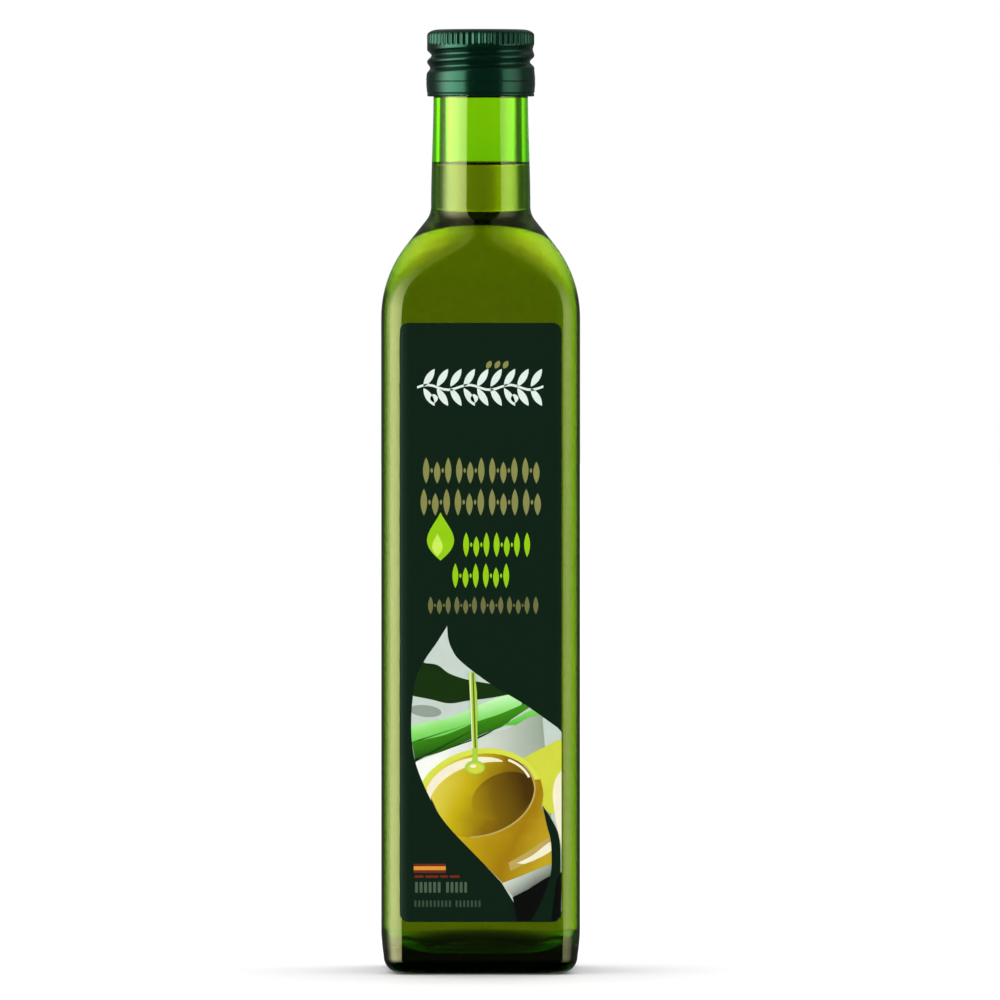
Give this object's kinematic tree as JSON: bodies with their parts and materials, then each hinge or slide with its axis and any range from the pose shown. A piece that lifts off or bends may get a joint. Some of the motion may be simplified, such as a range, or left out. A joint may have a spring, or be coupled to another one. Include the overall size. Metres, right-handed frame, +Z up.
{
  "type": "glass bottle of olive oil",
  "caption": "Square green glass bottle with rounded corners and a round neck, filled with olive oil, with a paper label and a rolled metal screw cap.",
  "frame": {"origin": "centre of the base, on the plane the bottle stands on", "axes": "+Z up along the neck's axis, -Y out of the front label, +X to the right seen from the front"},
  "size_m": [0.0572, 0.0574, 0.2718],
  "materials": {
    "glass": "clear yellow-green bottle glass, fire-polished",
    "oil": "clear golden green olive oil",
    "cap": "dark green lacquered rolled aluminium, glossy",
    "label": "dark green printed sheet with a satin varnish"
  },
  "bodies": {
    "root": {"glass": "glass", "oil": "oil", "cap": "cap", "front_label": "label"}
  },
  "joints": []
}
